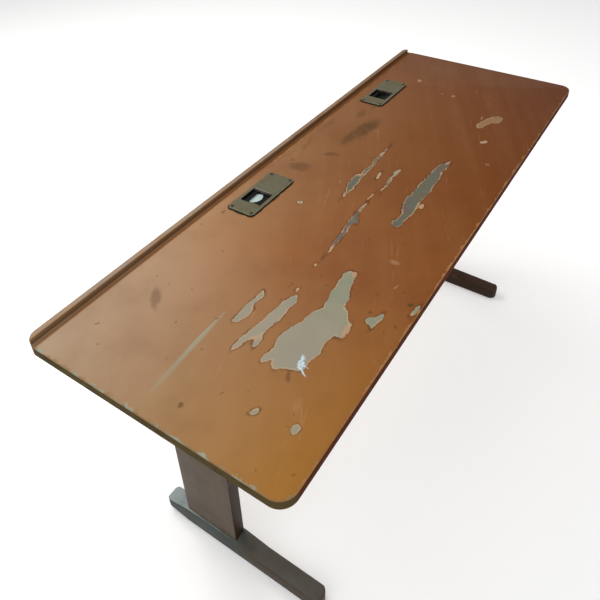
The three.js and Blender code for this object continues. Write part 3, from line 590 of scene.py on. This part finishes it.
def makeLegPaint(name, look):
    material, tree, shader, place, axis = startMaterial(name)
    turn = (0, math.radians(90), 0) if look["grainAlong"] == "z" else (0, 0, math.radians(90))
    lined = turned(tree, place, turn)
    boards = use(tree, grain, Place=lined, Scale=12.0)
    strokes = use(tree, brushStrokes, Place=lined, Turn=0.0, Scale=40.0)
    base = blendTint(tree, patches(tree, place, (9.0, 6.0, 0.65), 0.35, 0.7), tint(look["tint"]),
                     tint(look["deepTint"]))
    base = blendTint(tree, times(tree, boards["Tone"], 0.25), base, tint(look["deepTint"]))
    normal = tree.nodes.new("ShaderNodeNewGeometry").outputs["Normal"]
    facing = tree.nodes.new("ShaderNodeSeparateXYZ")
    plug(tree, facing.inputs[0], normal)
    # painted shade: faces turned to the front take the front tint; on the feet the front arm takes it too
    forward = ramp(tree, facing.outputs["Y"], -0.9, -0.5, 0.85, 0.0)
    if look["grainAlong"] == "y":
        forward = maths(tree, "MAXIMUM", forward, ramp(tree, axis["Y"], -0.03, 0.02, 0.8, 0.0))
    base = blendTint(tree, forward, base, tint(look["frontTint"]))
    backward = ramp(tree, axis["Y"], -0.02, 0.12, 0.15, 1.0) if look["grainAlong"] == "y" else 0.6
    dust = times(tree, ramp(tree, facing.outputs["Z"], 0.4, 0.95),
                 patches(tree, place, (16.0, 5.0, 0.6), 0.3, 0.62, 0.45, 1.0))
    dust = times(tree, dust, backward)
    base = blendTint(tree, times(tree, dust, 0.85), base, tint(look["dustTint"]))
    knocks = use(tree, specks, Place=place, Scale=26.0, Share=0.12)
    base = blendTint(tree, times(tree, knocks["Mask"], 0.55), base, tint(look["wornTint"]))
    scored = use(tree, scratches, Place=lined, Turn=0.2, Scale=24.0, Share=0.35)
    base = blendTint(tree, times(tree, scored["Mask"], 0.4), base, tint(look["wornTint"]))
    scuff = times(tree, ramp(tree, axis["Z"], 0.004, 0.02, 1.0, 0.0),
                  patches(tree, place, (40.0, 5.0), 0.4, 0.6))
    base = blendTint(tree, times(tree, scuff, 0.6), base, tint(look["deepTint"]))
    roughness = maths(tree, "ADD", 0.5, times(tree, dust, 0.3))
    height = maths(tree, "ADD", times(tree, boards["Height"], 0.25), times(tree, strokes["Height"], 0.3))
    height = maths(tree, "SUBTRACT", height, times(tree, knocks["Mask"], 0.8))
    finishMaterial(tree, shader, base, roughness, height, 0.45, 0.0007, gloss=0.15)
    return material


bareLook = {"dark": "8A6238", "light": "B98F5C", "stain": "5A3F26", "spot": "3A2818"}


def makeBareWood(name, turn, look):
    material, tree, shader, place, axis = startMaterial(name)
    lined = turned(tree, place, turn)
    boards = use(tree, grain, Place=lined, Scale=11.0)
    base = blendTint(tree, boards["Tone"], tint(look["dark"]), tint(look["light"]))
    base = blendTint(tree, patches(tree, place, (6.0, 6.0, 0.65), 0.4, 0.72, 0.0, 0.7), base,
                     tint(look["stain"]))
    spots = use(tree, specks, Place=place, Scale=18.0, Share=0.08)
    base = blendTint(tree, times(tree, spots["Mask"], 0.6), base, tint(look["spot"]))
    roughness = ramp(tree, boards["Tone"], 0.0, 1.0, 0.72, 0.58)
    finishMaterial(tree, shader, base, roughness, boards["Height"], 0.5, 0.0006)
    return material


plateLook = {"tint": "5B5544", "olive": "565138", "deep": "41392A", "rim": "7C7866", "verdigris": "6A7A68",
             "side": "120C08", "scoreTint": "A09A86", "spotTint": "3A3226", "cornerRadius": 0.009}


def makePlateMetal(look):
    material, tree, shader, place, axis = startMaterial("plateMetal")
    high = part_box("inkwell_plate_left")[1]
    base = blendTint(tree, patches(tree, place, (22.0, 5.0, 0.6), 0.35, 0.68), tint(look["tint"]),
                     tint(look["olive"]))
    base = blendTint(tree, patches(tree, place, (75.0, 6.0, 0.7), 0.5, 0.75, 0.0, 0.6), base,
                     tint(look["deep"]))
    rimMask = None
    for side in sides:
        lowEnd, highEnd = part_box("inkwell_plate_" + side)
        centre = (lowEnd + highEnd) / 2
        half = (highEnd - lowEnd) / 2
        outline = use(tree, planGap, Place=place, Centre=tuple(centre), Half=tuple(half),
                      Radius=look["cornerRadius"])["Gap"]
        reach = patches(tree, place, (120.0, 5.0, 0.7), 0.35, 0.7, 0.0006, 0.0034)
        here = times(tree, ramp(tree, maths(tree, "SUBTRACT", outline, reach), -0.0006, 0.0008, 1.0, 0.0),
                     ramp(tree, outline, -0.02, -0.004))
        frontward = ramp(tree, axis["Y"], centre.y - half.y * 0.9, centre.y + half.y, 1.0, 0.35)
        here = times(tree, here, frontward)
        rimMask = here if rimMask is None else maths(tree, "MAXIMUM", rimMask, here)
    top = ramp(tree, maths(tree, "SUBTRACT", high.z, axis["Z"]), 0.0003, 0.0007, 1.0, 0.0)
    rimTint = blendTint(tree, patches(tree, place, (55.0, 4.0), 0.46, 0.6), tint(look["rim"]),
                        tint(look["verdigris"]))
    base = blendTint(tree, times(tree, rimMask, 0.5), base, rimTint)
    scored = use(tree, scratches, Place=place, Turn=0.5, Scale=90.0, Share=0.35)
    base = blendTint(tree, times(tree, scored["Mask"], 0.35), base, tint(look["scoreTint"]))
    spots = use(tree, specks, Place=place, Scale=120.0, Share=0.12)
    base = blendTint(tree, times(tree, spots["Mask"], 0.5), base, tint(look["spotTint"]))
    # painted shade: the plate's side faces are made near black
    side = maths(tree, "SUBTRACT", 1.0, top)
    base = blendTint(tree, times(tree, side, 0.9), base, tint(look["side"]))
    roughness = patches(tree, place, (60.0, 4.0), 0.3, 0.7, 0.42, 0.66)
    height = maths(tree, "SUBTRACT", noise(tree, place, 180.0, 5.0), times(tree, scored["Mask"], 0.5))
    finishMaterial(tree, shader, base, roughness, height, 0.25, 0.0004, metal=0.15, gloss=0.2)
    return material


shutterLook = {"tint": "7A7466", "deep": "5A5446", "lip": "8E887A", "scoreTint": "A8A292"}


def makeShutterMetal(look):
    material, tree, shader, place, axis = startMaterial("shutterMetal")
    base = blendTint(tree, patches(tree, place, (60.0, 5.0, 0.65), 0.35, 0.7), tint(look["tint"]),
                     tint(look["deep"]))
    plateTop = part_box("inkwell_plate_left")[1].z
    lip = ramp(tree, axis["Z"], plateTop - 0.0005, plateTop + 0.0006)
    base = blendTint(tree, times(tree, lip, 0.7), base, tint(look["lip"]))
    scored = use(tree, scratches, Place=place, Turn=0.0, Scale=120.0, Share=0.5)
    base = blendTint(tree, times(tree, scored["Mask"], 0.5), base, tint(look["scoreTint"]))
    roughness = patches(tree, place, (90.0, 4.0), 0.3, 0.7, 0.35, 0.6)
    finishMaterial(tree, shader, base, roughness, noise(tree, place, 200.0, 4.0), 0.2, 0.0003, metal=0.6)
    return material


linerLook = {"tint": "050405", "pale": "0C0908", "rust": "160B0A", "tab": "5B5544"}


def makeLinerMetal(look):
    material, tree, shader, place, axis = startMaterial("linerMetal")
    base = blendTint(tree, noise(tree, place, 120.0, 5.0), tint(look["tint"]), tint(look["pale"]))
    rust = patches(tree, place, (45.0, 5.0, 0.7), 0.5, 0.7, 0.0, 0.6)
    base = blendTint(tree, rust, base, tint(look["rust"]))
    spots = []
    for side in sides:
        low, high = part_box("inkwell_liner_" + side)
        spots.append((low.x + 0.002, (low.y + high.y) / 2 - 0.004, 0.0065, 0.018, 0))
    tab = shapeGap(tree, wobbled(tree, place, 220.0, 0.0016), spots)
    base = blendTint(tree, ramp(tree, tab, -0.0008, 0.0006, 0.9, 0.0), base, tint(look["tab"]))
    roughness = patches(tree, place, (80.0, 4.0), 0.3, 0.7, 0.3, 0.6)
    finishMaterial(tree, shader, base, roughness, noise(tree, place, 150.0, 5.0), 0.3, 0.0003, gloss=0.1)
    return material


crazeTint = "6A6658"
rustTint = "4A2B18"


def makeGlaze(name, clean, dirty, share):
    material, tree, shader, place, axis = startMaterial(name)
    stain = patches(tree, place, (70.0, 5.0, 0.65), 0.62 - share, 0.72 - share * 0.4)
    base = blendTint(tree, stain, tint(clean), tint(dirty))
    crazing = use(tree, scratches, Place=place, Turn=0.9, Scale=220.0, Share=0.5)
    base = blendTint(tree, times(tree, crazing["Mask"], 0.35), base, tint(crazeTint))
    roughness = ramp(tree, stain, 0.0, 1.0, 0.18, 0.5)
    finishMaterial(tree, shader, base, roughness, noise(tree, place, 90.0, 3.0), 0.1, 0.0003)
    return material


def makeSteel(name, bright, dark, rustShare, metal=0.85):
    material, tree, shader, place, axis = startMaterial(name)
    rust = patches(tree, place, (150.0, 6.0, 0.7), 0.65 - rustShare, 0.78 - rustShare)
    base = blendTint(tree, noise(tree, place, 60.0, 4.0), tint(bright), tint(dark))
    base = blendTint(tree, rust, base, tint(rustTint))
    roughness = ramp(tree, rust, 0.0, 1.0, 0.38, 0.85)
    metalness = ramp(tree, rust, 0.0, 1.0, metal, 0.1)
    finishMaterial(tree, shader, base, roughness, noise(tree, place, 300.0, 5.0), 0.35, 0.0002,
                   metal=metalness)
    return material


looks = {
    "top": makeTopPaint(topLook),
    "rail": makeRailPaint(railLook),
    "column": makeLegPaint("columnPaint", legLooks["column"]),
    "footLeft": makeLegPaint("nearFootPaint", legLooks["nearFoot"]),
    "footRight": makeLegPaint("farFootPaint", legLooks["farFoot"]),
    "stretcher": makeBareWood("stretcherWood", (0, 0, 0), bareLook),
    "bearer": makeBareWood("bearerWood", (0, 0, math.radians(90)), bareLook),
    "plate": makePlateMetal(plateLook),
    "shutter": makeShutterMetal(shutterLook),
    "liner": makeLinerMetal(linerLook),
    "potLeft": makeGlaze("potGlaze", "1A1615", "2C2624", 0.1),
    "potRight": makeGlaze("potStained", "12100E", "1E211C", 0.2),
    "plateScrew": makeSteel("plateScrewSteel", "4A4438", "2A251E", 0.12, 0.6),
    "steel": makeSteel("fixingSteel", "8A8780", "5C5A55", 0.1),
}
print("stage: materials made")


def placePiece(piece, body, replaced=()):
    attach(piece, body)
    for node in replaced:
        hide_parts(node)


# A merged copy of a CAD node, shaded smooth round its curves, with its hard arrises eased.
def fineCopy(node, name, material, body="desk", ease=0.0, sharpAngle=32.0):
    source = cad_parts[node]
    mesh = source.data.copy()
    mesh.name = name
    shape = bmesh.new()
    shape.from_mesh(mesh)
    bmesh.ops.remove_doubles(shape, verts=shape.verts, dist=1e-6)
    bmesh.ops.dissolve_limit(shape, angle_limit=math.radians(0.4), verts=shape.verts, edges=shape.edges)
    for face in shape.faces:
        face.smooth = True
    for edge in shape.edges:
        edge.smooth = not (edge.is_manifold and edge.calc_face_angle() > math.radians(sharpAngle))
    shape.to_mesh(mesh)
    shape.free()
    mesh.materials.clear()
    mesh.materials.append(material)
    piece = bpy.data.objects.new(name, mesh)
    scene.collection.objects.link(piece)
    if ease:
        bevel = piece.modifiers.new("ease", "BEVEL")
        bevel.width = ease
        bevel.segments = 2
        bevel.limit_method = "ANGLE"
        bevel.angle_limit = math.radians(40)
    placePiece(piece, body, (node,))


def dress(prefix, material):
    for name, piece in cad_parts.items():
        if name.startswith(prefix):
            piece.material_slots[0].material = material


fineCopy("tabletop", "deskTop", looks["top"])
fineCopy("back_rail", "backRail", looks["rail"])
fineCopy("stretcher", "stretcherBoard", looks["stretcher"], ease=0.0015)
for side in sides:
    end = side.capitalize()
    fineCopy("column_" + side, "column" + end, looks["column"])
    fineCopy("foot_" + side, "foot" + end, looks["foot" + end])
    fineCopy("bearer_" + side, "bearer" + end, looks["bearer"])
    fineCopy("inkwell_plate_" + side, "inkwellPlate" + end, looks["plate"])
    fineCopy("inkwell_shutter_" + side, "shutter" + end, looks["shutter"], "shutter_" + side,
             0.0003)
    fineCopy("inkwell_liner_" + side, "liner" + end, looks["liner"])
    fineCopy("ink_pot_" + side, "inkPot" + end, looks["pot" + end], ease=0.0004)
    dress(f"inkwell_{side}_screw", looks["plateScrew"])
for prefix in ("back_rail_screw", "bearer_left_screw", "bearer_right_screw", "leg_bolt", "leg_nut",
               "stretcher_screw", "foot_screw", "glide_"):
    dress(prefix, looks["steel"])
print("stage: frame pieces dressed")


# Distances in metres: the pot's wall and floor, the gap to the wall, and the width and dip of the meniscus.
potLook = {"wall": 0.0058, "floor": 0.0122, "gap": 0.0012, "meniscus": 0.0016, "dip": 0.0006}
residues = {
    "left": {"level": 0.0012, "material": makeGlaze("driedWhite", "AABAB6", "93A29E", 0.1)},
    "right": {"level": 0.0065, "material": makeGlaze("driedInk", "0E1612", "1C2820", 0.2)},
}


def potResidue(side, look):  # dried contents, filling the pot to a level below its rim
    low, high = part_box("ink_pot_" + side)
    centre = (low + high) / 2
    wallRadius = (high.x - low.x) / 2 - potLook["wall"]
    floorZ = low.z + potLook["floor"]
    topZ = high.z - look["level"]
    shape = bmesh.new()
    bmesh.ops.create_circle(shape, cap_ends=True, segments=48, radius=wallRadius - potLook["gap"])
    bmesh.ops.translate(shape, verts=shape.verts, vec=(centre.x, centre.y, floorZ))
    risen = bmesh.ops.extrude_face_region(shape, geom=shape.faces[:])
    moved = [part for part in risen["geom"] if isinstance(part, bmesh.types.BMVert)]
    bmesh.ops.translate(shape, verts=moved, vec=(0, 0, topZ - floorZ))
    top = [face for face in shape.faces if face.calc_center_median().z > topZ - 1e-5]
    bmesh.ops.inset_region(shape, faces=top, thickness=potLook["meniscus"], depth=-potLook["dip"])
    bmesh.ops.recalc_face_normals(shape, faces=shape.faces)
    mesh = bpy.data.meshes.new("potResidue" + side.capitalize())
    shape.to_mesh(mesh)
    shape.free()
    mesh.materials.append(look["material"])
    piece = bpy.data.objects.new(mesh.name, mesh)
    scene.collection.objects.link(piece)
    placePiece(piece, "desk", ())


for side, look in residues.items():
    potResidue(side, look)
print("stage: inkwells filled")


studio = {"floorRadius": 14.0, "floorTone": 0.86, "floorRoughness": 0.9, "floorGlow": 0.22, "airGlow": 0.42}


def makeFloor(look):
    mesh = bpy.data.meshes.new("studioFloor")
    shape = bmesh.new()
    bmesh.ops.create_circle(shape, cap_ends=True, segments=64, radius=look["floorRadius"])
    shape.to_mesh(mesh)
    shape.free()
    floor = bpy.data.objects.new("studioFloor", mesh)
    material = bpy.data.materials.new("floorPale")
    material.use_nodes = True
    shader = material.node_tree.nodes["Principled BSDF"]
    shader.inputs["Base Color"].default_value = (*[look["floorTone"]] * 3, 1)
    shader.inputs["Roughness"].default_value = look["floorRoughness"]
    shader.inputs["Emission Color"].default_value = (1, 1, 1, 1)
    shader.inputs["Emission Strength"].default_value = look["floorGlow"]
    mesh.materials.append(material)
    scene.collection.objects.link(floor)


lamps = {
    "windowKey": {"at": (0.15, 2.3, 2.7), "towards": (-0.3, 0.0, 0.6), "size": (2.2, 1.6), "power": 56,
                  "tint": (1.0, 0.98, 0.95)},
    "leftFill": {"at": (-3.0, 0.5, 1.9), "towards": (0, 0, 0.4), "size": (2.5, 2.5), "power": 17,
                 "tint": (0.96, 0.98, 1.0)},
    "topWash": {"at": (0.0, 0.0, 4.2), "towards": (0, 0, 0), "size": (5.0, 5.0), "power": 98,
                "tint": (1.0, 1.0, 1.0)},
}
cameraLook = {"at": (-0.9468, -0.4593, 1.3286), "azimuth": 56.25, "pitch": 35.48, "roll": -1.13,
              "lens": 37.36, "shiftY": -1 / 6}


def makeLamps(look):
    world = bpy.data.worlds.new("studioAir")
    world.use_nodes = True
    world.node_tree.nodes["Background"].inputs["Color"].default_value = (1, 1, 1, 1)
    world.node_tree.nodes["Background"].inputs["Strength"].default_value = look["airGlow"]
    scene.world = world
    for name, lampLook in lamps.items():
        data = bpy.data.lights.new(name, "AREA")
        data.shape = "RECTANGLE"
        data.size, data.size_y = lampLook["size"]
        data.energy = lampLook["power"]
        data.color = lampLook["tint"]
        lamp = bpy.data.objects.new(name, data)
        heading = Vector(lampLook["towards"]) - Vector(lampLook["at"])
        aimed = heading.to_track_quat("-Z", "Y").to_matrix().to_4x4()
        lamp.matrix_world = Matrix.Translation(lampLook["at"]) @ aimed
        scene.collection.objects.link(lamp)


def makeCamera(look):
    azimuth, pitch, roll = (math.radians(look[key]) for key in ("azimuth", "pitch", "roll"))
    forward = Vector((math.sin(azimuth) * math.cos(pitch), math.cos(azimuth) * math.cos(pitch),
                      -math.sin(pitch)))
    right = Vector((math.cos(azimuth), -math.sin(azimuth), 0))
    up = right.cross(forward)
    rolledRight = math.cos(roll) * right + math.sin(roll) * up
    rolledUp = math.cos(roll) * up - math.sin(roll) * right
    data = bpy.data.cameras.new("deskCamera")
    data.lens = look["lens"]
    data.sensor_width = 36.0
    data.shift_y = look["shiftY"]
    data.clip_end = 60.0
    camera = bpy.data.objects.new("deskCamera", data)
    facing = Matrix((rolledRight, rolledUp, -forward)).transposed().to_4x4()
    camera.matrix_world = Matrix.Translation(look["at"]) @ facing
    scene.collection.objects.link(camera)
    scene.camera = camera


makeFloor(studio)
makeLamps(studio)
makeCamera(cameraLook)
print("stage: floor, lamps and camera set")
